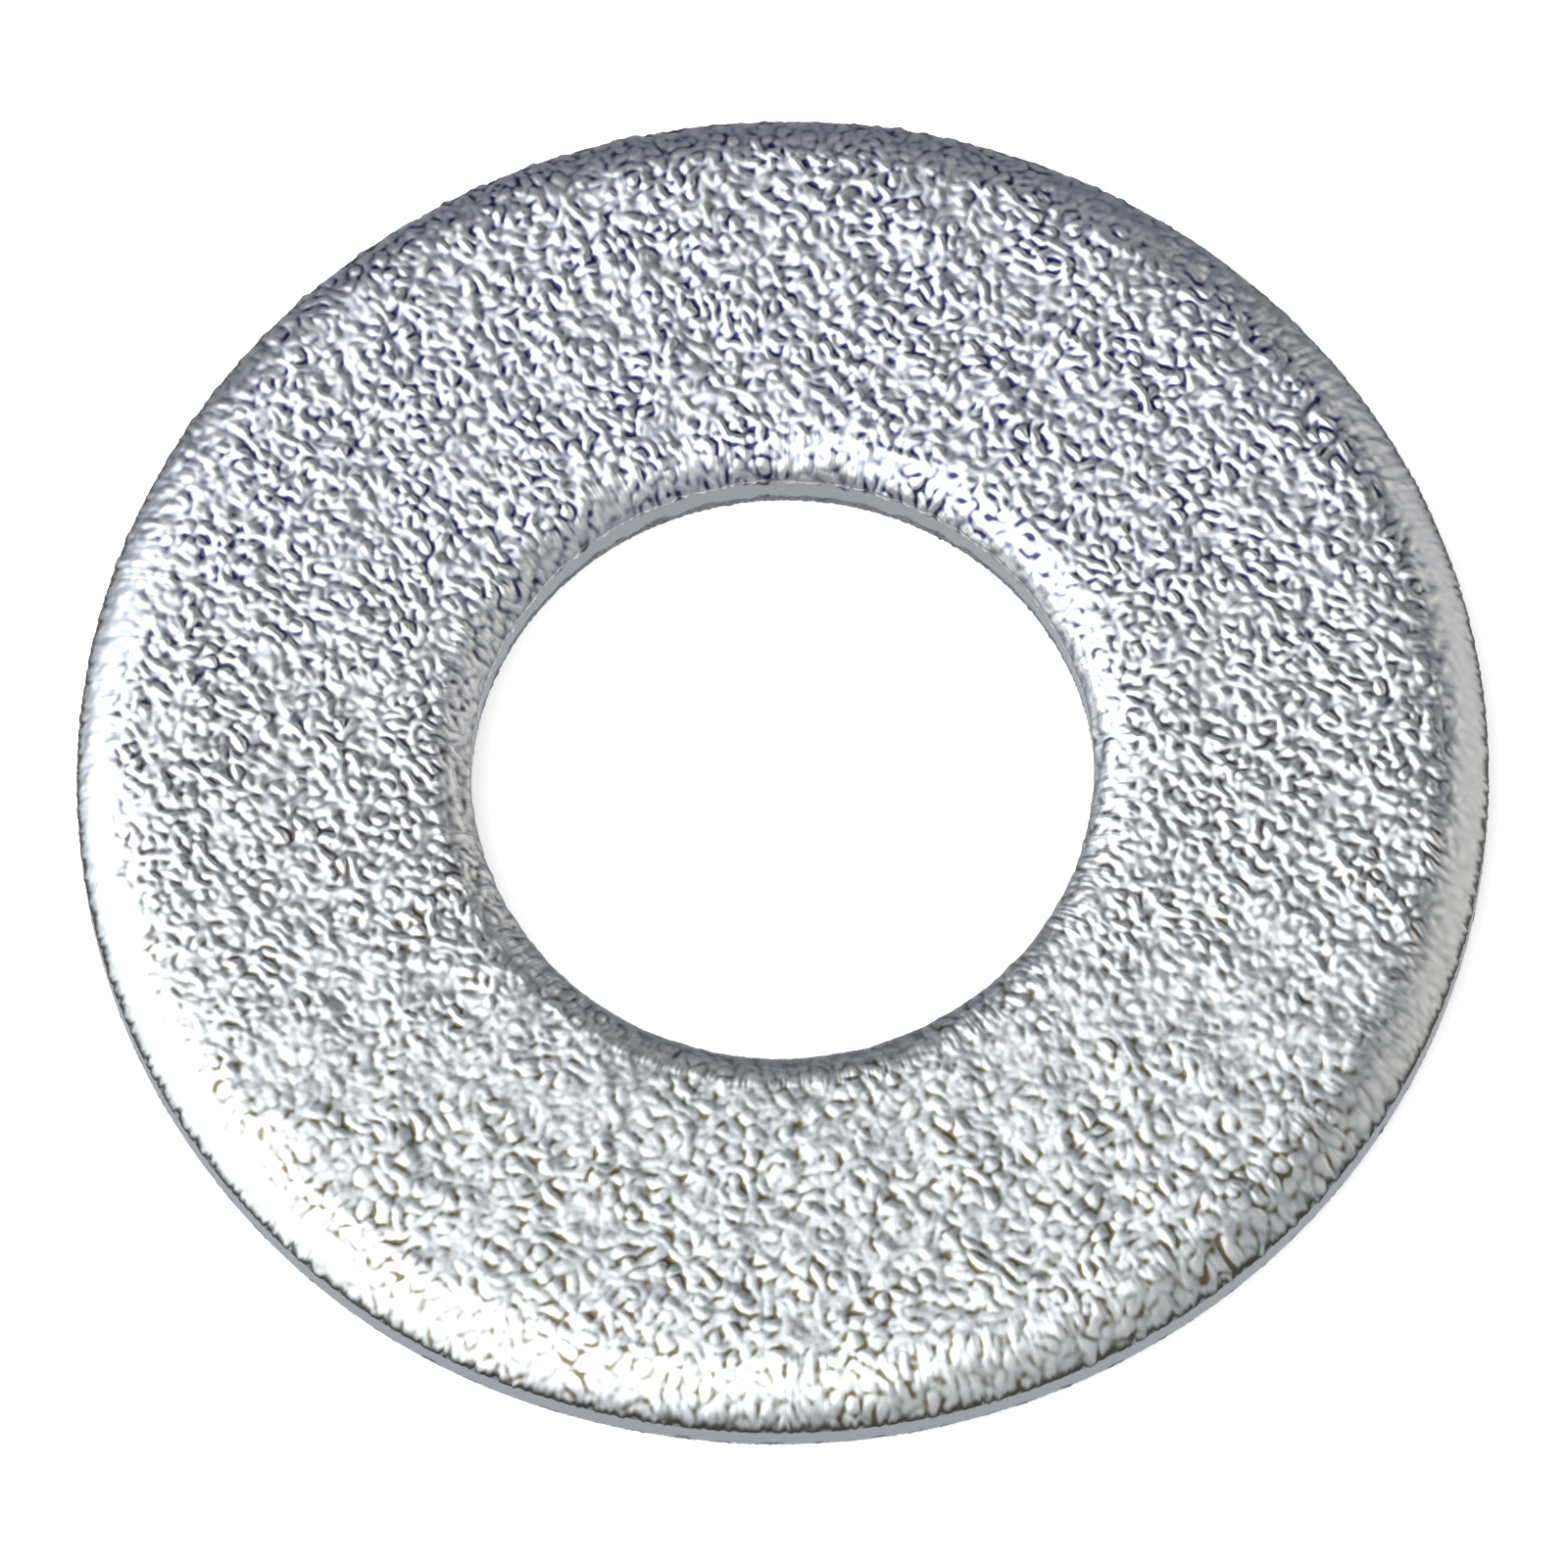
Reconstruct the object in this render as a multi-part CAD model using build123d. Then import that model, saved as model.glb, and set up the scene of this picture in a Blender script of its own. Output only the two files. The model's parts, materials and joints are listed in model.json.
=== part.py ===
from math import cos, radians, sin
import os

from build123d import *

# Flat washer, stamped from steel strip in a compound die and zinc plated.
# It lies flat: Z is the axis of the hole, z = 0 is the face on the burr side,
# and the origin is the middle of that face. Millimetres throughout.

# Driving dimensions
OUTSIDE_DIAMETER = 25.4
HOLE_DIAMETER = 11.2
THICKNESS = 1.7

# The die pulls both top edges down before it shears them. Each shoulder leaves the
# face level and meets its wall at an angle: this far in from the wall, and this far
# down from the top. It is the last SHOULDER_SPAN degrees of an ellipse's quarter.
RIM_SHOULDER_WIDTH = 1.2
RIM_SHOULDER_DEPTH = 0.76
HOLE_SHOULDER_WIDTH = 0.78
HOLE_SHOULDER_DEPTH = 0.58
SHOULDER_SPAN = 60

# Below its shoulder each wall is sheared straight, and breaks away over the last part.
# The punch is a close fit in its die, so the hole breaks away much less than the rim.
RIM_BREAK_HEIGHT = 0.36
RIM_BREAK_SETBACK = 0.12
HOLE_BREAK_HEIGHT = 0.36
HOLE_BREAK_SETBACK = 0.03

# Tumbling takes the burr off the two bottom corners.
CORNER_RADIUS = 0.06

# Worked out from the above
RIM_RADIUS = OUTSIDE_DIAMETER / 2
HOLE_RADIUS = HOLE_DIAMETER / 2
RIM_FOOT_RADIUS = RIM_RADIUS - RIM_BREAK_SETBACK
HOLE_FOOT_RADIUS = HOLE_RADIUS + HOLE_BREAK_SETBACK
FLAT_OUTER_RADIUS = RIM_RADIUS - RIM_SHOULDER_WIDTH
FLAT_INNER_RADIUS = HOLE_RADIUS + HOLE_SHOULDER_WIDTH
RIM_LAND_TOP = THICKNESS - RIM_SHOULDER_DEPTH
HOLE_LAND_TOP = THICKNESS - HOLE_SHOULDER_DEPTH


def shoulder(centre_radius, width, depth, start_angle):
    """One rounded top edge, in the plane of radius and height."""
    below_upright = radians(90 - SHOULDER_SPAN)
    ellipse_width = width / cos(below_upright)
    ellipse_height = depth / (1 - sin(below_upright))
    return EllipticalCenterArc(
        (centre_radius, THICKNESS - ellipse_height),
        ellipse_width,
        ellipse_height,
        start_angle=start_angle,
        arc_size=SHOULDER_SPAN,
    )


def washer_section():
    """Half of the washer's cross-section, with radius along X and height along Y."""
    with BuildSketch() as section:
        with BuildLine():
            Line((HOLE_FOOT_RADIUS, 0), (RIM_FOOT_RADIUS, 0))
            Line((RIM_FOOT_RADIUS, 0), (RIM_RADIUS, RIM_BREAK_HEIGHT))
            Line((RIM_RADIUS, RIM_BREAK_HEIGHT), (RIM_RADIUS, RIM_LAND_TOP))
            shoulder(
                FLAT_OUTER_RADIUS,
                RIM_SHOULDER_WIDTH,
                RIM_SHOULDER_DEPTH,
                90 - SHOULDER_SPAN,
            )
            Line((FLAT_OUTER_RADIUS, THICKNESS), (FLAT_INNER_RADIUS, THICKNESS))
            shoulder(
                FLAT_INNER_RADIUS,
                HOLE_SHOULDER_WIDTH,
                HOLE_SHOULDER_DEPTH,
                90,
            )
            Line((HOLE_RADIUS, HOLE_LAND_TOP), (HOLE_RADIUS, HOLE_BREAK_HEIGHT))
            Line((HOLE_RADIUS, HOLE_BREAK_HEIGHT), (HOLE_FOOT_RADIUS, 0))
        make_face()
        fillet(section.vertices().group_by(Axis.Y)[0], CORNER_RADIUS)
    return section.sketch


def washer():
    """The section turned once round the axis of the hole."""
    return revolve(Plane.XZ * washer_section(), Axis.Z)


os.makedirs("parts", exist_ok=True)
export_step(washer(), "parts/washer.step")
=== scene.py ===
import json
import math

import bpy
import numpy as np
from mathutils import Matrix, Vector


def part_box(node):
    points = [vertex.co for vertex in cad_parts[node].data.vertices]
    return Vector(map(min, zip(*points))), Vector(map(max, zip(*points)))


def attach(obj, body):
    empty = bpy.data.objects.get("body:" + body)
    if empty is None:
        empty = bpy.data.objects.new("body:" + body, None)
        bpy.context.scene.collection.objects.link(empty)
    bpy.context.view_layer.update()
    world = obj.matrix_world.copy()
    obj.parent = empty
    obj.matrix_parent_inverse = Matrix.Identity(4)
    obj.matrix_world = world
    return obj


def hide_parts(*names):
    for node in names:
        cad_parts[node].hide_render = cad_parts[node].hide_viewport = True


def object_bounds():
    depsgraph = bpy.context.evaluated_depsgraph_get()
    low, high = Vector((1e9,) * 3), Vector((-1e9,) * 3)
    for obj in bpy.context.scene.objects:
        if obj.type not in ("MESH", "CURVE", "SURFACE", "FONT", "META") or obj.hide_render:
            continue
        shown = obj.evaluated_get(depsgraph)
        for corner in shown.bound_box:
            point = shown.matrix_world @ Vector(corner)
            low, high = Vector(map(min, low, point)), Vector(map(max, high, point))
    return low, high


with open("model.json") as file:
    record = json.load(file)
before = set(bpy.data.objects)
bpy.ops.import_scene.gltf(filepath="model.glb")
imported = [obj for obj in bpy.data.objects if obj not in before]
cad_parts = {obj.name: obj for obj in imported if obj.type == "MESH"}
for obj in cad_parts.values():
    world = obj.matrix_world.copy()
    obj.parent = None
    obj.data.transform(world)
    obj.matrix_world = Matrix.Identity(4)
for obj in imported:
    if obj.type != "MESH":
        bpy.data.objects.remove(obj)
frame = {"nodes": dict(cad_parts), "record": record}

# A flat washer: one steel ring, stamped and pierced in a single stroke, tumbled, then zinc plated.
# It lies on a pale board with its rounded side up. Sizes in the dictionaries are millimetres.
mm = 0.001
cadLow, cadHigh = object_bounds()
print("frame loaded:", ", ".join(frame["nodes"]))


def hexToLinear(text):
    channels = [int(text[i:i + 2], 16) / 255 for i in (1, 3, 5)]
    return tuple(c / 12.92 if c <= 0.04045 else ((c + 0.055) / 1.055) ** 2.4 for c in channels)


def addNode(tree, kind, settings=None, values=None, links=None):
    node = tree.nodes.new(kind)
    for name, value in (settings or {}).items():
        setattr(node, name, value)
    for socket, value in (values or {}).items():
        node.inputs[socket].default_value = value
    for socket, source in (links or {}).items():
        tree.links.new(source, node.inputs[socket])
    return node


# the stamped ring
washerSizes = {
    "rimShoulderWidth": 1.2,     # the rounded outer edge, in from the wall
    "rimShoulderDepth": 0.76,    # and down from the face
    "holeShoulderWidth": 0.78,
    "holeShoulderDepth": 0.58,
    "shoulderSpan": 60,          # degrees of an ellipse's quarter, so that it meets the wall at an angle
    "rimBreakHeight": 0.36,      # the foot of each wall, where the steel tore instead of being cut
    "rimBreakSetback": 0.12,
    "holeBreakHeight": 0.36,
    "holeBreakSetback": 0.03,
    "cornerRadius": 0.06,
    "rollIn": 0.022,             # the face dips this much before each shoulder starts
    "rollInWidth": 0.75,
    "shoulderStretch": 1.9,      # how far the die drew the skin out where a shoulder meets its wall
    "stretchPower": 1.5,         # most of that close to the wall
    "bulge": 0.05,               # the rim is a little out of round at one place
    "bulgeAzimuth": 235,
    "bulgeSpread": 16,
    "bulgeStart": 4.0,           # it grows from this far outside the hole
    "stepsRound": 1856,          # mesh columns round the ring
    "stepAcross": 0.037,         # spacing of the rings of points on the top face
    "stepOnWalls": 0.04,
    "stepBelow": 0.12,
}

# the skin that tumbling and plating leave: small rounded pebbles with narrow creases between them
skinRelief = {
    "pebbleWave": 0.48,          # from one pebble of a layer to the next
    "pebbleHeight": 0.0107,      # root mean square
    "pebbleSpread": 0.45,        # how much their sizes differ
    "pebbleLayers": 4,           # the highest layer shows, so that pebbles meet in sharp creases
    "pebbleMeeting": 6.0,        # how sharply they meet
    "rollingAzimuth": 130,       # the strip was rolled this way, and the pebbles are longer along it
    "rollingStretch": 1.09,
    "wornWave": 0.60,            # the front side is more worn: broader, lower pebbles
    "wornHeight": 0.0057,
    "wornFrom": 2.0,             # from this far in front of the hole's axis
    "wornOver": 6.0,
    "grainWave": 0.15,           # a fine grain over the pebbles
    "grainHeight": 0.0004,
    "grainSpread": 0.3,
    "swellWave": 1.7,            # slow swells under them
    "swellHeight": 0.007,
    "swellSpread": 0.35,
    "patchWave": 2.4,            # the relief is stronger in some patches than in others
    "patchShare": 0.2,
    "patchSpread": 0.5,
    "wallShare": 0.35,           # what is left of the relief where a shoulder meets its wall
    "drawnFrom": 0.28,           # it fades over this stretch of a shoulder's width
    "drawnOver": 0.45,
    "drawnAzimuth": 10,          # the strip was drawn hardest on this side, and least at a right angle to it
    "drawnAtHole": 0.5,          # and less at the hole than at the rim
    "peel": 0.2,                 # where it was drawn least it came up rougher
    "creaseBlur": 0.030,
    "castDepth": 14.0,           # the painted reflection tint turns over this much of the ring, from blue at the back to straw in front
    "mapStep": 0.020,            # grid that the relief is drawn on before the mesh picks it up
    "mapSide": 28.0,
    "seed": 71,
}

# the walls: sheared smooth by the punch and the die, then torn at the foot
wallRelief = {
    "rimLipDrop": 0.0,           # the pebbled skin reaches this far down the sheared band
    "holeLipDrop": 0.14,
    "lipWave": 0.55,             # and ends in an uneven line
    "lipHeight": 0.035,
    "lipRoughWave": 0.22,
    "lipRough": 0.03,
    "lipWidth": 0.05,
    "lipStep": 0.012,            # the band is cut this far below the skin
    "rimLipShade": 0.14,         # painted shade along the lip: this far up
    "holeLipShade": 0.05,
    "lipShadeBelow": 0.04,       # and this far down the band
    "lipShadeFull": 1.25,        # above one, the painted shade line has a core of full strength
    "dragWave": 0.16,            # upright marks that the die drags down the band
    "dragSpread": 0.9,
    "dragHeight": 0.0016,
    "tearLineWave": 0.9,         # where the band ends and the torn foot starts
    "tearLineHeight": 0.05,
    "tearEdge": 0.06,
    "tearWave": 0.17,
    "tearSpread": 0.5,
    "tearSquash": 1.6,           # the tears are this much longer round the wall than they are tall
    "tearHeight": 0.007,
    "tearSeed": 412,
    "rimSeed": 422,
    "holeSeed": 432,
}


def waveField(seed, side, step, wave, spread, azimuth=0, stretch=1):
    # a random surface of ripples about one wavelength long, which repeats at its sides
    count = int(round(side / step))
    frequency = np.fft.fftfreq(count, side / count)
    across, along = np.meshgrid(frequency, frequency)
    cosine, sine = math.cos(math.radians(azimuth)), math.sin(math.radians(azimuth))
    long = (across * cosine + along * sine) * stretch
    short = (along * cosine - across * sine) / math.sqrt(stretch)
    radius = np.maximum(np.hypot(long, short), 1e-9)
    band = np.exp(-(np.log(radius * wave) / spread) ** 2)
    noise = np.random.default_rng(seed).standard_normal((count, count))
    field = np.fft.ifft2(np.fft.fft2(noise) * band).real
    return field / field.std()


def pebbleField(seed, wave, skin):
    # several layers of pebbles through one another, with the highest on top everywhere
    layers = [waveField(seed + 20 * layer, skin["mapSide"], skin["mapStep"], wave, skin["pebbleSpread"],
                        skin["rollingAzimuth"], skin["rollingStretch"])
              for layer in range(skin["pebbleLayers"])]
    field = np.log(sum(np.exp(skin["pebbleMeeting"] * layer) for layer in layers))
    return (field - field.mean()) / field.std()


def waveLine(seed, count, length, wave, spread=0.6):
    # the same kind of ripples, along a line that closes on itself
    frequency = np.maximum(np.abs(np.fft.fftfreq(count, length / count)), 1e-9)
    band = np.exp(-(np.log(frequency * wave) / spread) ** 2)
    noise = np.random.default_rng(seed).standard_normal(count)
    line = np.fft.ifft(np.fft.fft(noise) * band).real
    return line / line.std()


def creasesOf(field, side, blur):
    # how hollow or proud the relief is at each point: creases below zero, pebble tops above
    count = field.shape[0]
    frequency = np.fft.fftfreq(count, side / count)
    across, along = np.meshgrid(frequency, frequency)
    squared = across ** 2 + along ** 2
    bend = squared * np.exp(-2 * (math.pi * blur) ** 2 * squared)
    proud = np.fft.ifft2(np.fft.fft2(field) * bend).real
    return proud / proud.std()


def pickUp(field, side, x, y):
    # reads a field at points, wrapping round at its sides
    count = field.shape[0]
    gridX = (x / side + 0.5) * count
    gridY = (y / side + 0.5) * count
    lowX = np.floor(gridX).astype(int)
    lowY = np.floor(gridY).astype(int)
    partX = gridX - lowX
    partY = gridY - lowY
    a = field[lowY % count, lowX % count]
    b = field[lowY % count, (lowX + 1) % count]
    c = field[(lowY + 1) % count, lowX % count]
    d = field[(lowY + 1) % count, (lowX + 1) % count]
    return (a * (1 - partX) + b * partX) * (1 - partY) + (c * (1 - partX) + d * partX) * partY


def easeStep(value):
    value = np.clip(value, 0, 1)
    return value * value * (3 - 2 * value)


def spaced(points, step):
    # points at even spacing along one stretch, without its last point
    lengths = np.hypot(*np.diff(points, axis=0).T)
    total = np.concatenate(([0], np.cumsum(lengths)))
    count = max(2, int(round(total[-1] / step)))
    at = np.linspace(0, total[-1], count, endpoint=False)
    return np.stack((np.interp(at, total, points[:, 0]), np.interp(at, total, points[:, 1])), axis=1)


def ellipseArc(centreRadius, centreHeight, width, depth, start, span=90, count=200):
    angle = np.radians(np.linspace(start, start + span, count))
    return np.stack((centreRadius + width * np.cos(angle), centreHeight + depth * np.sin(angle)), axis=1)


def shoulderArc(flatRadius, thickness, width, depth, span, isRim):
    # a rounded top edge: level where it leaves the face, cut off short of upright at its wall
    short = math.radians(90 - span)
    wide, deep = width / math.cos(short), depth / (1 - math.sin(short))
    start = 90 - span if isRim else 90
    return ellipseArc(flatRadius, thickness - deep, wide, deep, start, span)


def cutOutline(sizes, rimRadius, holeRadius, thickness):
    # the closed outline of the ring's section, from the underside round the rim,
    # and the name of the stretch that each point is on
    corner = sizes["cornerRadius"]
    rimFoot = rimRadius - sizes["rimBreakSetback"]
    holeFoot = holeRadius + sizes["holeBreakSetback"]
    rimLandTop = thickness - sizes["rimShoulderDepth"]
    holeLandTop = thickness - sizes["holeShoulderDepth"]
    flatOuter = rimRadius - sizes["rimShoulderWidth"]
    flatInner = holeRadius + sizes["holeShoulderWidth"]
    rimBreak, holeBreak = sizes["rimBreakHeight"], sizes["holeBreakHeight"]
    top, wall = sizes["stepAcross"], sizes["stepOnWalls"]
    stretches = [
        ("under", [(holeFoot + corner, 0), (rimFoot - corner, 0)], sizes["stepBelow"]),
        ("rimCorner", ellipseArc(rimFoot - corner, corner, corner, corner, -90), wall / 2),
        ("rimBreak", [(rimFoot, corner), (rimRadius, rimBreak)], wall),
        ("rimLand", [(rimRadius, rimBreak), (rimRadius, rimLandTop)], wall),
        ("rimShoulder", shoulderArc(flatOuter, thickness, sizes["rimShoulderWidth"],
                                    sizes["rimShoulderDepth"], sizes["shoulderSpan"], True), top),
        ("face", [(flatOuter, thickness), (flatInner, thickness)], top),
        ("holeShoulder", shoulderArc(flatInner, thickness, sizes["holeShoulderWidth"],
                                     sizes["holeShoulderDepth"], sizes["shoulderSpan"], False), top),
        ("holeLand", [(holeRadius, holeLandTop), (holeRadius, holeBreak)], wall),
        ("holeBreak", [(holeRadius, holeBreak), (holeFoot, corner)], wall),
        ("holeCorner", ellipseArc(holeFoot + corner, corner, corner, corner, 180), wall / 2),
    ]
    pieces = [spaced(np.asarray(points, float), step) for name, points, step in stretches]
    names = np.concatenate([[name] * len(piece) for (name, *rest), piece in zip(stretches, pieces)])
    return np.concatenate(pieces), names


def skinRadius(outline, names, sizes):
    # where each row lay on the flat strip before the die drew it down, as a radius on the relief's map
    flat = outline[:, 0].copy()
    for name, toFace in (("rimShoulder", 1), ("holeShoulder", -1)):
        rows = np.flatnonzero(names == name)[::-toFace]
        for count, row in enumerate(rows):
            drawn = 1 + (sizes["shoulderStretch"] - 1) * (count / len(rows)) ** sizes["stretchPower"]
            move = np.hypot(*(outline[row] - outline[row + toFace])) / drawn
            flat[row] = flat[row + toFace] + toFace * move
    return flat


def raiseSkin(skin, x, y):
    # how high the skin stands at points of the map, and how hollow or proud it is there
    side, step, seed = skin["mapSide"], skin["mapStep"], skin["seed"]
    patches = waveField(seed + 4, side, step, skin["patchWave"], skin["patchSpread"])
    patches = 1 + skin["patchShare"] * np.tanh(patches)
    grain = skin["grainHeight"] * waveField(seed + 1, side, step, skin["grainWave"], skin["grainSpread"])
    swells = skin["swellHeight"] * waveField(seed + 2, side, step, skin["swellWave"], skin["swellSpread"])
    worn = easeStep((-y - skin["wornFrom"]) / skin["wornOver"])
    lift = pickUp(swells, side, x, y)
    crease = 0
    for count, (part, kind) in enumerate(((1 - worn, "pebble"), (worn, "worn"))):
        pebbles = skin[kind + "Height"] * pebbleField(seed + 10 * count, skin[kind + "Wave"], skin)
        pebbles = pebbles * patches + grain
        lift = lift + part * pickUp(pebbles, side, x, y)
        crease = crease + part * pickUp(creasesOf(pebbles, side, skin["creaseBlur"]), side, x, y)
    print("skin raised")
    return lift, crease


def cutWall(wall, wallRadius, sizes, skin, walls, angle, height, thickness):
    # one wall: an uneven lip where the pebbled skin ends, with painted shade along it, drag marks below it,
    # a torn foot
    seed, columns = walls[wall + "Seed"], len(angle)
    around = 2 * math.pi * wallRadius
    uneven = walls["lipHeight"] * waveLine(seed, columns, around, walls["lipWave"])
    uneven += walls["lipRough"] * waveLine(seed + 1, columns, around, walls["lipRoughWave"])
    lipLine = thickness - sizes[wall + "ShoulderDepth"] - walls[wall + "LipDrop"] + uneven
    aboveLip = height - lipLine
    onSkin = easeStep(aboveLip / walls["lipWidth"] + 0.5)
    # a painted shade along the lip: strongest at the line, fading up the skin and down the band
    fade = np.where(aboveLip > 0, walls[wall + "LipShade"], walls["lipShadeBelow"])
    lip = easeStep(walls["lipShadeFull"] - np.abs(aboveLip) / fade)

    tearLine = walls["tearLineHeight"] * waveLine(seed + 3, columns, around, walls["tearLineWave"])
    torn = easeStep((sizes[wall + "BreakHeight"] + tearLine - height) / walls["tearEdge"] + 0.5)
    side, step = skin["mapSide"], skin["mapStep"]
    tears = waveField(walls["tearSeed"], side, step, walls["tearWave"], walls["tearSpread"])
    tear = walls["tearHeight"] * pickUp(tears, side, angle * wallRadius, height * walls["tearSquash"])
    drag = walls["dragHeight"] * waveLine(seed + 2, columns, around, walls["dragWave"], walls["dragSpread"])
    lift = drag * (1 - torn) + tear * torn - walls["lipStep"] * (1 - onSkin)
    return onSkin, torn, lip, lift


def reliefShare(sizes, skin, edges, outline, angle):
    # the relief fades where the die drew the skin out
    across = np.maximum(outline[:, :1] - edges["rim"], 0) / sizes["rimShoulderWidth"]
    atHole = np.maximum(edges["hole"] - outline[:, :1], 0) / sizes["holeShoulderWidth"]
    across = across + atHole * skin["drawnAtHole"]
    drawn = np.cos(angle - math.radians(skin["drawnAzimuth"])) ** 2
    fading = (1 - skin["wallShare"]) * drawn
    peeling = skin["peel"] * (1 - drawn)
    return 1 + (peeling - fading) * easeStep((across - skin["drawnFrom"]) / skin["drawnOver"])


def dipAtShoulders(sizes, edges, outline, names, thickness):
    # the face dips towards each shoulder, and the shoulder takes up the dip again on its way down
    dip = 0
    for wall, edge in edges.items():
        near = np.clip(1 - np.abs(outline[:, :1] - edge) / sizes["rollInWidth"], 0, 1) ** 2
        left = 1 - (thickness - outline[:, 1:]) / sizes[wall + "ShoulderDepth"]
        dip = dip + near * (names == "face")[:, None] + left * (names == wall + "Shoulder")[:, None]
    return sizes["rollIn"] * dip


def bulgeOf(sizes, radius, angle, holeRadius, rimRadius):
    swing = (np.degrees(angle) - sizes["bulgeAzimuth"] + 180) % 360 - 180
    start = holeRadius + sizes["bulgeStart"]
    share = np.exp(-(swing / sizes["bulgeSpread"]) ** 2) * easeStep((radius - start) / (rimRadius - start))
    return sizes["bulge"] * share


def closedRing(name, points, marks):
    # a mesh from rows and columns of points, closed both ways, with one number at each point for every mark
    rows, columns = points.shape[:2]
    row, column = np.meshgrid(np.arange(rows), np.arange(columns), indexing="ij")
    nextRow, nextColumn = (row + 1) % rows, (column + 1) % columns
    corners = np.stack((row * columns + column, row * columns + nextColumn,
                        nextRow * columns + nextColumn, nextRow * columns + column), axis=2)
    mesh = bpy.data.meshes.new(name)
    mesh.vertices.add(rows * columns)
    mesh.vertices.foreach_set("co", points.ravel())
    mesh.loops.add(corners.size)
    mesh.loops.foreach_set("vertex_index", corners.ravel())
    mesh.polygons.add(rows * columns)
    mesh.polygons.foreach_set("loop_start", np.arange(0, corners.size, 4))
    mesh.update(calc_edges=True)
    mesh.shade_smooth()
    for mark, values in marks.items():
        layer = mesh.attributes.new(mark, "FLOAT", "POINT")
        layer.data.foreach_set("value", values.astype(np.float32).ravel())
    ring = bpy.data.objects.new(name, mesh)
    bpy.context.scene.collection.objects.link(ring)
    print(name, "built:", rows, "rows by", columns, "columns")
    return ring


def buildWasher(sizes, skin, walls):
    nodeLow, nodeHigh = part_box("washer")
    bore = next(mount for mount in frame["record"]["mounts"] if mount["name"] == "bore")
    rimRadius = (nodeHigh.x - nodeLow.x) / 2 / mm
    holeRadius = bore["dims"]["r_mm"]
    thickness = (nodeHigh.z - nodeLow.z) / mm
    edges = {"rim": rimRadius - sizes["rimShoulderWidth"], "hole": holeRadius + sizes["holeShoulderWidth"]}
    outline, names = cutOutline(sizes, rimRadius, holeRadius, thickness)
    along = np.roll(outline, -1, axis=0) - np.roll(outline, 1, axis=0)
    along /= np.hypot(along[:, 0], along[:, 1])[:, None]
    outward = np.stack((along[:, 1], -along[:, 0]), axis=1)

    rows, columns = len(outline), sizes["stepsRound"]
    angle = np.linspace(0, 2 * math.pi, columns, endpoint=False)
    turn = np.stack((np.cos(angle), np.sin(angle)), axis=1)
    radius = np.repeat(outline[:, :1], columns, axis=1)
    height = np.repeat(outline[:, 1:], columns, axis=1)
    flat = skinRadius(outline, names, sizes)[:, None]
    x, y = flat * turn[:, 0], flat * turn[:, 1]
    skinLift, crease = raiseSkin(skin, x, y)

    onSkin = np.ones((rows, columns))
    torn, lip, wallLift = np.zeros((3, rows, columns))
    for wall, wallRadius in (("rim", rimRadius), ("hole", holeRadius)):
        mine = np.isin(names, [wall + part for part in ("Corner", "Break", "Land", "Shoulder")])
        cut = cutWall(wall, wallRadius, sizes, skin, walls, angle, height[mine], thickness)
        onSkin[mine], torn[mine], lip[mine], wallLift[mine] = cut

    share = reliefShare(sizes, skin, edges, outline, angle)
    lift = skinLift * share * onSkin + wallLift
    under = (names == "under")[:, None]
    lift = np.where(under, np.minimum(lift, 0), lift)      # the washer stands on its highest pebbles
    radius = radius + outward[:, :1] * lift + bulgeOf(sizes, radius, angle, holeRadius, rimRadius)
    height = height - dipAtShoulders(sizes, edges, outline, names, thickness) + outward[:, 1:] * lift
    height = np.maximum(height, 0)      # and nothing reaches below it
    points = np.stack((radius * turn[:, 0], radius * turn[:, 1], height), axis=2) * mm
    marks = {
        "proud": crease * np.minimum(share, 1) ** 2 * onSkin,      # below zero in creases, above on tops: it sets the painted shade in creases and the painted highlight on tops
        "sheared": 1 - onSkin,
        "torn": torn,
        "lip": lip,
        # how much of the front's painted reflection tint each point takes, rising from back to front
        "front": easeStep(0.5 - y / skin["castDepth"]),
    }
    return closedRing("washer_ring", points, marks)


ring = buildWasher(washerSizes, skinRelief, wallRelief)
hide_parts("washer")
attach(ring, "root")


# Bright zinc, electroplated over tumbled steel and passivated clear: a cool silver skin that mirrors softly,
# with painted shade in its creases, a painted highlight on its pebble tops and a painted reflection tint,
# blue at the back and straw in front, and satin blue-grey on the sheared walls.
zincLook = {
    "skinBack": "#bbc0c8",       # a painted reflection tint: faintly blue at the back
    "skinFront": "#bac0c3",      # and faintly straw-coloured in front
    # painted shade for the creases, navy at the back and olive in front as a painted reflection tint
    "creasesBack": "#30315f",
    "creasesFront": "#6c624a",
    # a painted highlight on the pebble tops
    "tops": "#d8dadb",
    "band": "#abb1b9",
    "tornFoot": "#898c92",
    # the colour of the painted shade along the lip
    "lipLine": "#55534a",
    "depthSpan": 2.2,            # the ramp from creases to tops covers this much either way
    "creaseStop": 0.1,
    "skinStop": 0.46,
    "topStop": 0.73,
    "roughness": 0.24,
    "bandRoughness": 0.38,
    "tornRoughness": 0.5,
    "grainSize": 0.09,           # crystals of the plating, drawn coarser than real ones so that they show
    "grainDetail": 3,
    "grainRoughness": 0.1,       # the gloss varies by this much from grain to grain
    "grainBump": 0.15,
    "grainHeight": 0.01,
}


def creaseRamp(tree, look, side, depth):
    # painted shade in the creases, then the skin, then a painted highlight on the pebble tops
    ramp = addNode(tree, "ShaderNodeValToRGB", None, None, {"Fac": depth})
    stops = ramp.color_ramp.elements
    stops[0].position = look["creaseStop"]
    stops[0].color = (*hexToLinear(look["creases" + side]), 1)
    stops[1].position = look["topStop"]
    stops[1].color = (*hexToLinear(look["tops"]), 1)
    skinStop = stops.new(look["skinStop"])
    skinStop.color = (*hexToLinear(look["skin" + side]), 1)
    return ramp.outputs["Color"]


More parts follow.
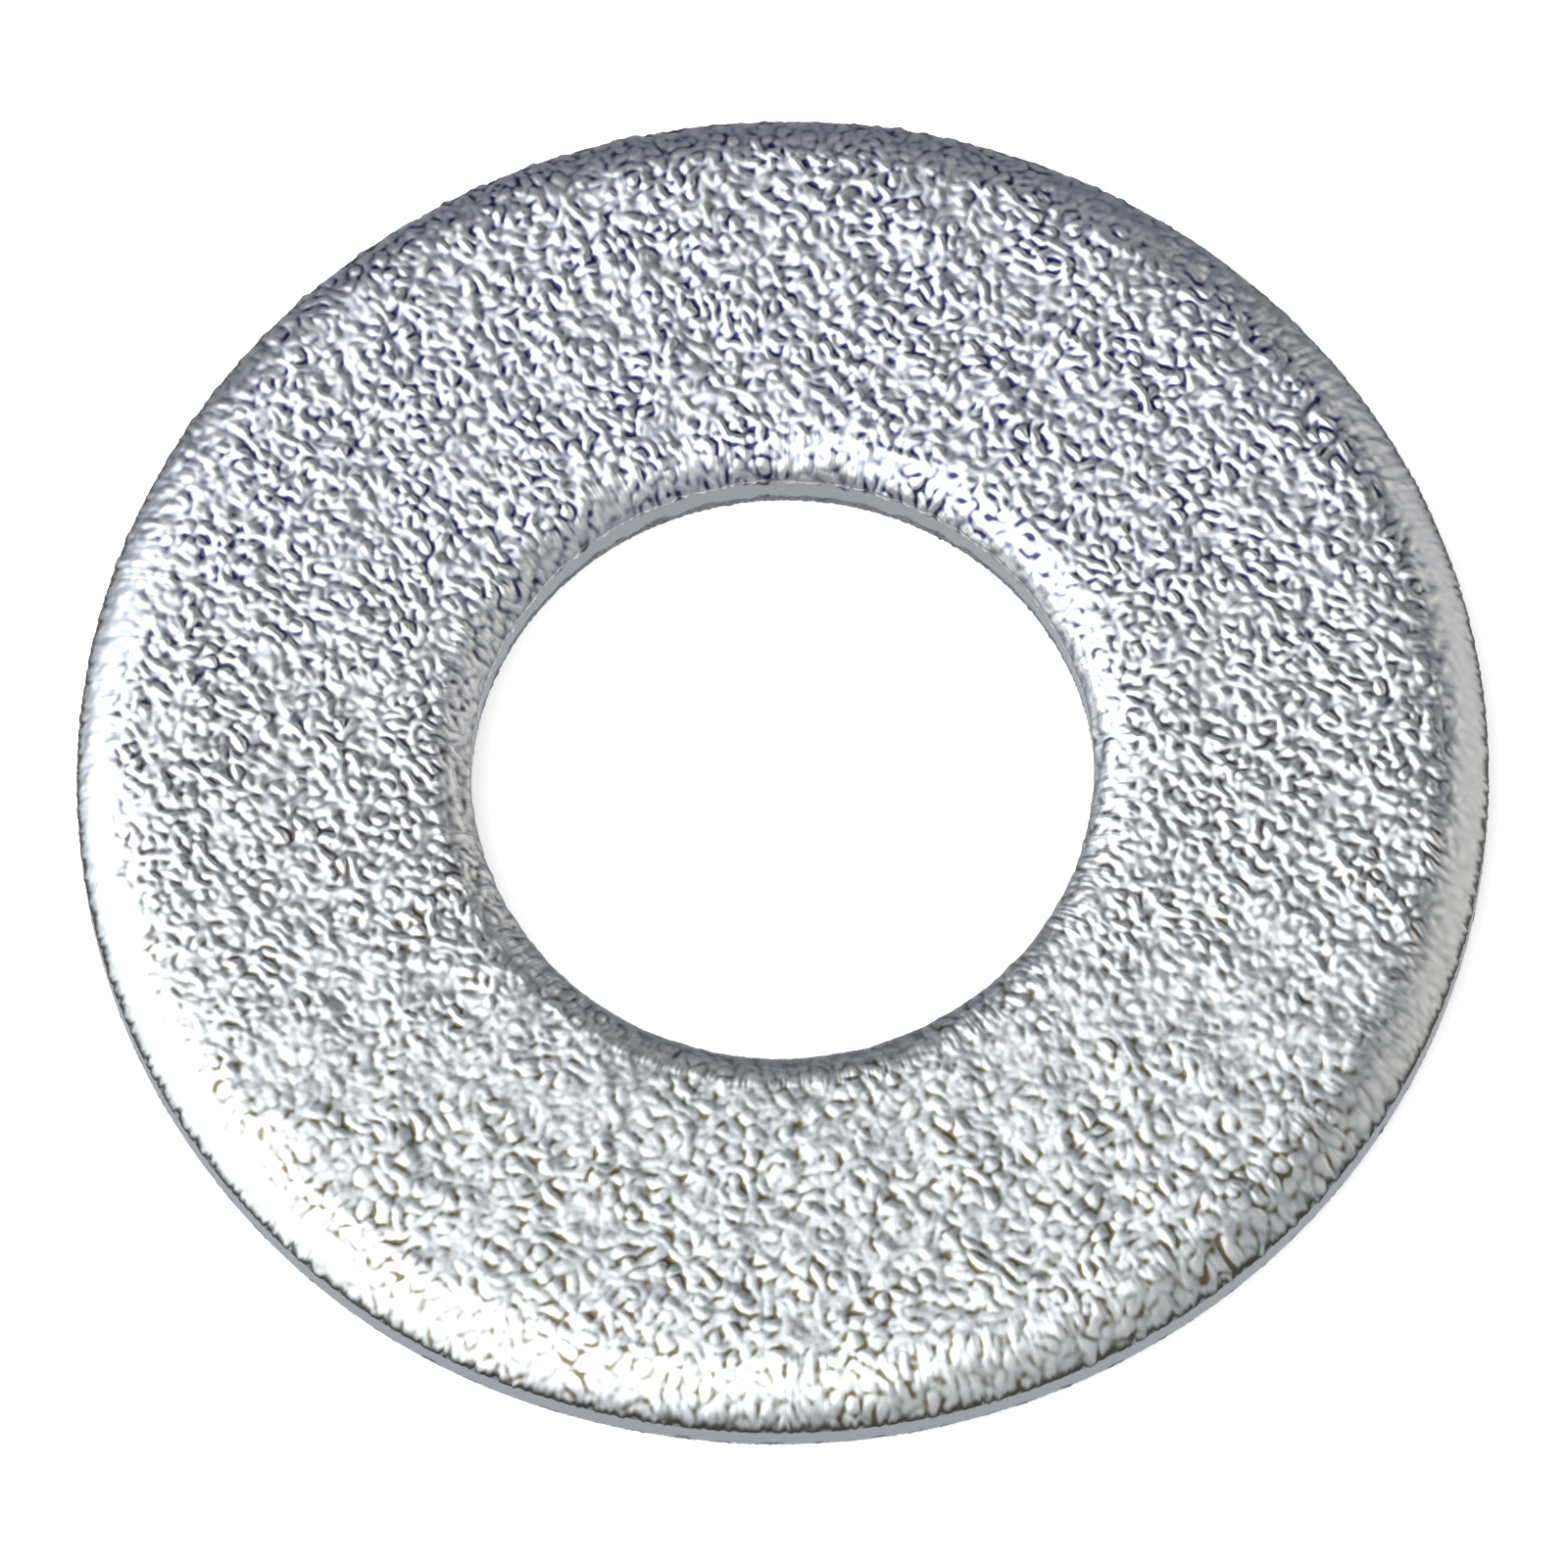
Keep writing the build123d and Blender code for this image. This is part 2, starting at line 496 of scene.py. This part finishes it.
def zincElectroplate(look):
    material = bpy.data.materials.new("zinc_electroplate_on_tumbled_steel")
    material.use_nodes = True
    tree = material.node_tree
    shader = tree.nodes["Principled BSDF"]
    shader.inputs["Metallic"].default_value = 1.0
    marks = {name: addNode(tree, "ShaderNodeAttribute", {"attribute_name": name}).outputs["Fac"]
             for name in ("proud", "sheared", "torn", "lip", "front")}
    depth = addNode(tree, "ShaderNodeMapRange", None,
                    {"From Min": -look["depthSpan"], "From Max": look["depthSpan"]},
                    {"Value": marks["proud"]})
    # the painted crease shade and top highlight, once in the back's painted reflection tint and once in the
    # front's
    back = creaseRamp(tree, look, "Back", depth.outputs["Result"])
    front = creaseRamp(tree, look, "Front", depth.outputs["Result"])
    # mixed from the back's painted reflection tint to the front's
    colour = addNode(tree, "ShaderNodeMix", {"data_type": "RGBA"}, None,
                     {0: marks["front"], 6: back, 7: front}).outputs[2]
    # the band and the torn foot take their own colours, and the lip a painted shade
    for mark, name in (("sheared", "band"), ("torn", "tornFoot"), ("lip", "lipLine")):
        colour = addNode(tree, "ShaderNodeMix", {"data_type": "RGBA"}, {7: (*hexToLinear(look[name]), 1)},
                         {0: marks[mark], 6: colour}).outputs[2]
    tree.links.new(colour, shader.inputs["Base Color"])

    # the gloss: brightest on the skin, satin on the band, dull on the torn foot, and uneven all over
    place = addNode(tree, "ShaderNodeTexCoord").outputs["Object"]
    grain = addNode(tree, "ShaderNodeTexNoise", None,
                    {"Scale": 1 / (look["grainSize"] * mm), "Detail": look["grainDetail"]},
                    {"Vector": place})
    smooth = addNode(tree, "ShaderNodeMapRange", None,
                     {"To Min": look["roughness"], "To Max": look["bandRoughness"]},
                     {"Value": marks["sheared"]})
    rough = addNode(tree, "ShaderNodeMapRange", None, {"To Max": look["tornRoughness"]},
                    {"Value": marks["torn"], "To Min": smooth.outputs["Result"]})
    vary = addNode(tree, "ShaderNodeMath", {"operation": "MULTIPLY_ADD"}, {1: look["grainRoughness"]},
                   {0: grain.outputs["Fac"], 2: rough.outputs["Result"]})
    level = addNode(tree, "ShaderNodeMath", {"operation": "SUBTRACT"}, {1: look["grainRoughness"] / 2},
                    {0: vary.outputs["Value"]})
    tree.links.new(level.outputs["Value"], shader.inputs["Roughness"])
    bump = addNode(tree, "ShaderNodeBump", None,
                   {"Strength": look["grainBump"], "Distance": look["grainHeight"] * mm},
                   {"Height": grain.outputs["Fac"]})
    tree.links.new(bump.outputs["Normal"], shader.inputs["Normal"])
    return material


ring.data.materials.append(zincElectroplate(zincLook))
print("zinc made")


# a light table for the floor: a matt white sheet, lit softly from below so that shadows on it stay faint
floorLook = {
    "side": 4.0,             # metres
    "gap": 0.02,             # millimetres below the washer
    "colour": "#f4f4f3",
    "roughness": 0.7,
    "glow": 0.4,
}


def mattBoard(look):
    material = bpy.data.materials.new("matt_white_board")
    material.use_nodes = True
    shader = material.node_tree.nodes["Principled BSDF"]
    shader.inputs["Base Color"].default_value = (*hexToLinear(look["colour"]), 1)
    shader.inputs["Roughness"].default_value = look["roughness"]
    shader.inputs["Emission Color"].default_value = (1, 1, 1, 1)
    shader.inputs["Emission Strength"].default_value = look["glow"]
    return material


def buildFloor(look):
    half = look["side"] / 2
    mesh = bpy.data.meshes.new("floor")
    mesh.from_pydata([(-half, -half, 0), (half, -half, 0), (half, half, 0), (-half, half, 0)], [],
                     [(0, 1, 2, 3)])
    mesh.materials.append(mattBoard(look))
    board = bpy.data.objects.new("floor", mesh)
    bpy.context.scene.collection.objects.link(board)
    board.location.z = cadLow.z - look["gap"] * mm
    board.visible_glossy = False      # the zinc mirrors the lower half of the tent instead
    return board


buildFloor(floorLook)
print("floor laid")


# a light tent: one broad soft glow on the left, a weak one on the right and in front, two flags that take
# light away at the back, a pale board below, and dim cloth elsewhere
# azimuth is counted from +X towards +Y; a glow is full inside "inner" degrees and gone at "outer"
tentLight = {
    "cloth": {"colour": "#fbfcff", "brightness": 0.44},
    "glows": {
        "left": {
            "azimuth": 196, "elevation": 42, "inner": 34, "outer": 72,
            "brightness": 2.0, "colour": "#ffffff",
        },
        "lowLeft": {
            "azimuth": 158, "elevation": 6, "inner": 10, "outer": 40,
            "brightness": 0.8, "colour": "#f4f8ff",
        },
        "right": {
            "azimuth": 17, "elevation": 6, "inner": 18, "outer": 50,
            "brightness": 0.55, "colour": "#fff4e4",
        },
        "front": {
            "azimuth": 290, "elevation": 44, "inner": 10, "outer": 52,
            "brightness": 0.3, "colour": "#fff8ee",
        },
        "lowFront": {
            "azimuth": 300, "elevation": 2, "inner": 15, "outer": 55,
            "brightness": 0.14, "colour": "#ffffff",
        },
        "highFlag": {
            "azimuth": 50, "elevation": 66, "inner": 8, "outer": 34,
            "brightness": -0.22, "colour": "#ffffff",
        },
        "backFlag": {
            "azimuth": 88, "elevation": -14, "inner": 20, "outer": 50,
            "brightness": -0.17, "colour": "#fffae4",
        },
        "board": {
            "azimuth": 0, "elevation": -90, "inner": 20, "outer": 40,
            "brightness": 0.55, "colour": "#ffffff",
        },
    },
    # a lamp close overhead, which reaches the front of the ring a little more than the back
    "topPanel": {"place": (0, -20, 100), "size": (120, 110), "brightness": 0.3},
}


def shone(source):
    # a colour at its brightness
    return tuple(channel * source["brightness"] for channel in hexToLinear(source["colour"]))


def addTent(light):
    world = bpy.data.worlds.new("light_tent")
    bpy.context.scene.world = world
    world.use_nodes = True
    tree = world.node_tree
    background = tree.nodes["Background"]
    direction = addNode(tree, "ShaderNodeTexCoord").outputs["Generated"]
    total = None
    for glow in light["glows"].values():
        azimuth, elevation = math.radians(glow["azimuth"]), math.radians(glow["elevation"])
        axis = (math.cos(azimuth) * math.cos(elevation), math.sin(azimuth) * math.cos(elevation),
                math.sin(elevation))
        along = addNode(tree, "ShaderNodeVectorMath", {"operation": "DOT_PRODUCT"}, {1: axis},
                        {0: direction})
        apart = addNode(tree, "ShaderNodeMath", {"operation": "ARCCOSINE"}, None,
                        {0: along.outputs["Value"]})
        fade = addNode(tree, "ShaderNodeMapRange", {"interpolation_type": "SMOOTHSTEP"},
                       {"From Min": math.radians(glow["outer"]), "From Max": math.radians(glow["inner"])},
                       {"Value": apart.outputs["Value"]})
        added = addNode(tree, "ShaderNodeVectorMath", {"operation": "MULTIPLY_ADD"},
                        {1: shone(glow), 2: shone(light["cloth"])}, {0: fade.outputs["Result"]})
        if total:
            tree.links.new(total.outputs["Vector"], added.inputs[2])
        total = added
    tree.links.new(total.outputs["Vector"], background.inputs["Color"])


def addPanel(name, panel):
    light = bpy.data.lights.new(name, "AREA")
    light.shape = "RECTANGLE"
    light.size, light.size_y = panel["size"][0] * mm, panel["size"][1] * mm
    light.energy = panel["brightness"] * math.pi * light.size * light.size_y
    lamp = bpy.data.objects.new(name, light)
    lamp.location = Vector(panel["place"]) * mm
    lamp.visible_camera = False
    bpy.context.scene.collection.objects.link(lamp)


addTent(tentLight)
addPanel("topPanel", tentLight["topPanel"])
print("light tent hung")


# a long lens, looking down steeply from the front
cameraSettings = {
    "elevation": 68.2,
    "roll": 2.4,             # degrees, the picture turned anticlockwise
    "lens": 800.0,
    "frameWidth": 28.19,     # millimetres across the picture at the washer
    "aim": (0.025, -0.18),   # right and up in the picture, from the washer's middle
    "nearest": 0.01,         # metres
    "farthest": 10.0,
}


def addCamera(settings):
    data = bpy.data.cameras.new("camera")
    data.lens = settings["lens"]
    camera = bpy.data.objects.new("camera", data)
    bpy.context.scene.collection.objects.link(camera)
    bpy.context.scene.camera = camera
    elevation = math.radians(settings["elevation"])
    away = Vector((0, -math.cos(elevation), math.sin(elevation)))
    distance = settings["frameWidth"] * mm * data.lens / data.sensor_width
    facing = (-away).to_track_quat("-Z", "Y").to_matrix()
    facing = facing @ Matrix.Rotation(math.radians(-settings["roll"]), 3, "Z")
    aim = (cadLow + cadHigh) / 2 + facing @ Vector((*settings["aim"], 0)) * mm
    camera.matrix_world = Matrix.Translation(aim + away * distance) @ facing.to_4x4()
    data.clip_start = settings["nearest"]
    data.clip_end = settings["farthest"]


addCamera(cameraSettings)
bpy.context.scene.view_settings.view_transform = "Standard"
print("camera placed")
